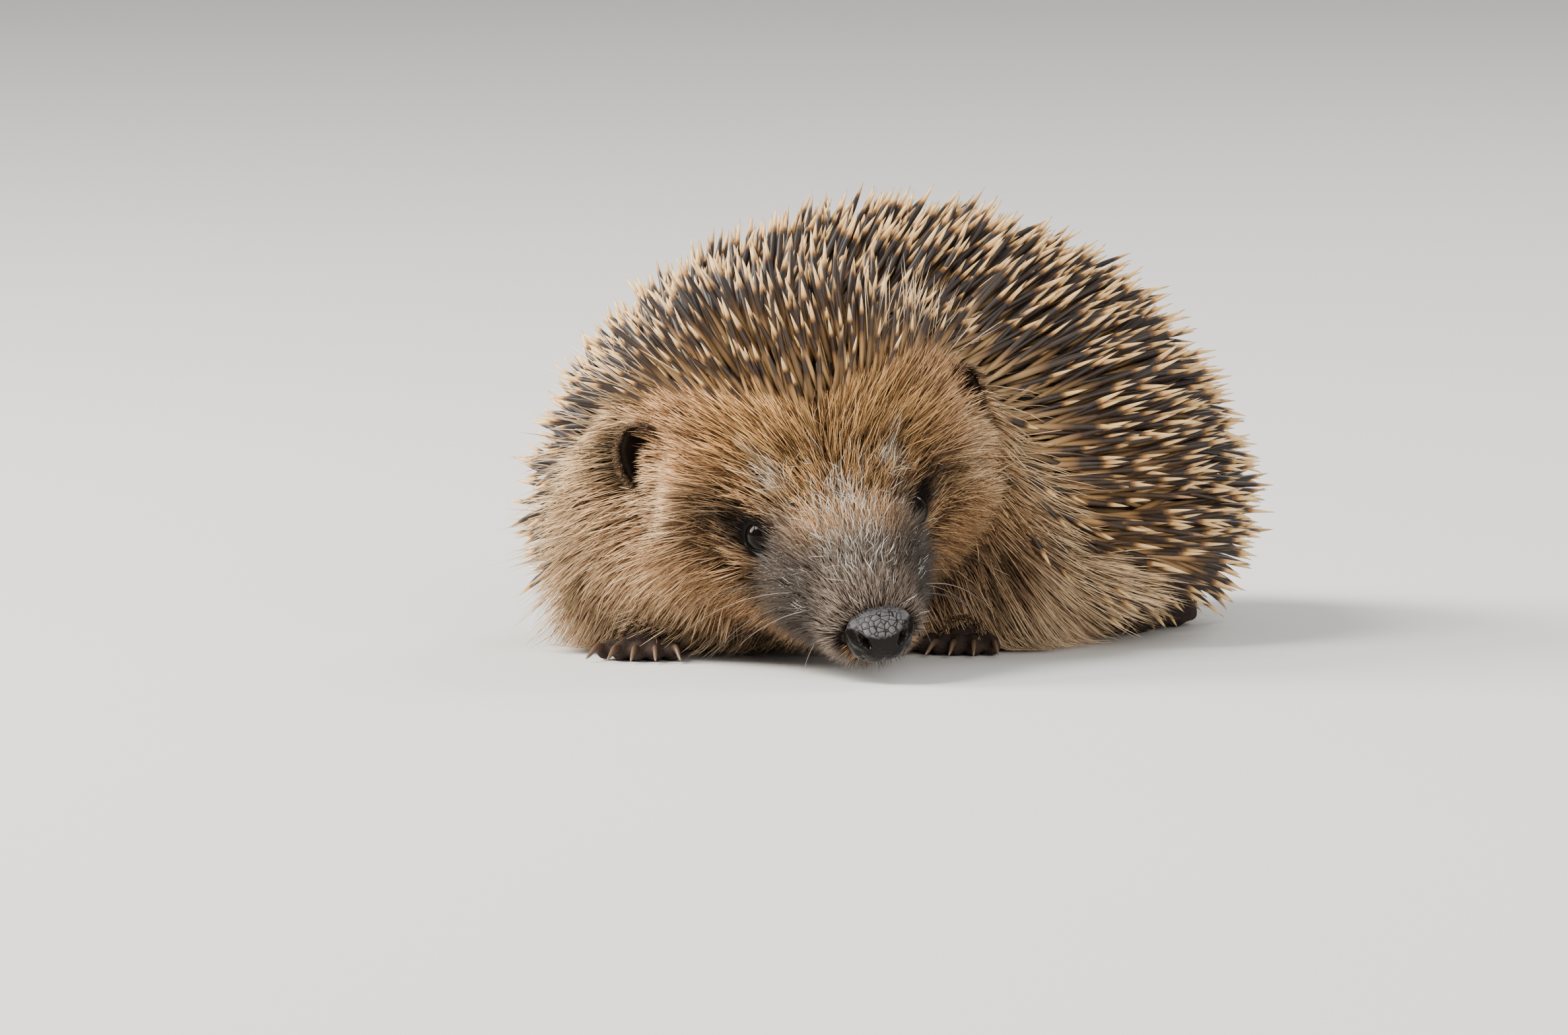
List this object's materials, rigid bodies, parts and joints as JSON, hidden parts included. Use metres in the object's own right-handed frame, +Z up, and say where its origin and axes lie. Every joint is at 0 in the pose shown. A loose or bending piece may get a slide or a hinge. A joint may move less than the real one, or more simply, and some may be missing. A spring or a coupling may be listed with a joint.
{
  "type": "hedgehog",
  "caption": "Hedgehog standing low on its feet, head lowered and turned, with a domed spiny back, furred face, pointed muzzle and clawed toes; a still life-size animal.",
  "frame": {"origin": "on the floor under the middle of the animal's length and width", "axes": "+Z up; the trunk runs along Y and faces -Y; +X is the animal's left, to which its head is turned"},
  "size_m": [0.106, 0.1576, 0.0745],
  "materials": {
    "spines": "banded spines, cream and near-black, satin horn",
    "fur": "coarse tan and grey-brown fur with pale guard hairs",
    "skin": "fine-grained bare skin of ears and feet",
    "nose_pad": "dark cracked nose leather, wet and glossy in front",
    "eyes": "glossy black eyeball",
    "claws": "pale translucent-looking horn, satin"
  },
  "bodies": {
    "root": {"trunk": "spines", "neck": "spines", "head": "fur", "jaw": "fur", "nose": "nose_pad", "tail": "fur", "ear_left": "skin", "eye_left": "eyes", "ear_right": "skin", "eye_right": "eyes", "foreleg_left": "fur", "forefoot_left": "skin", "foreclaw_left_1": "claws", "foreclaw_left_2": "claws", "foreclaw_left_3": "claws", "foreclaw_left_4": "claws", "foreclaw_left_5": "claws", "foreleg_right": "fur", "forefoot_right": "skin", "foreclaw_right_1": "claws", "foreclaw_right_2": "claws", "foreclaw_right_3": "claws", "foreclaw_right_4": "claws", "foreclaw_right_5": "claws", "hindleg_left": "fur", "hindfoot_left": "skin", "hindclaw_left_1": "claws", "hindclaw_left_2": "claws", "hindclaw_left_3": "claws", "hindclaw_left_4": "claws", "hindclaw_left_5": "claws", "hindleg_right": "fur", "hindfoot_right": "skin", "hindclaw_right_1": "claws", "hindclaw_right_2": "claws", "hindclaw_right_3": "claws", "hindclaw_right_4": "claws", "hindclaw_right_5": "claws"}
  },
  "joints": []
}
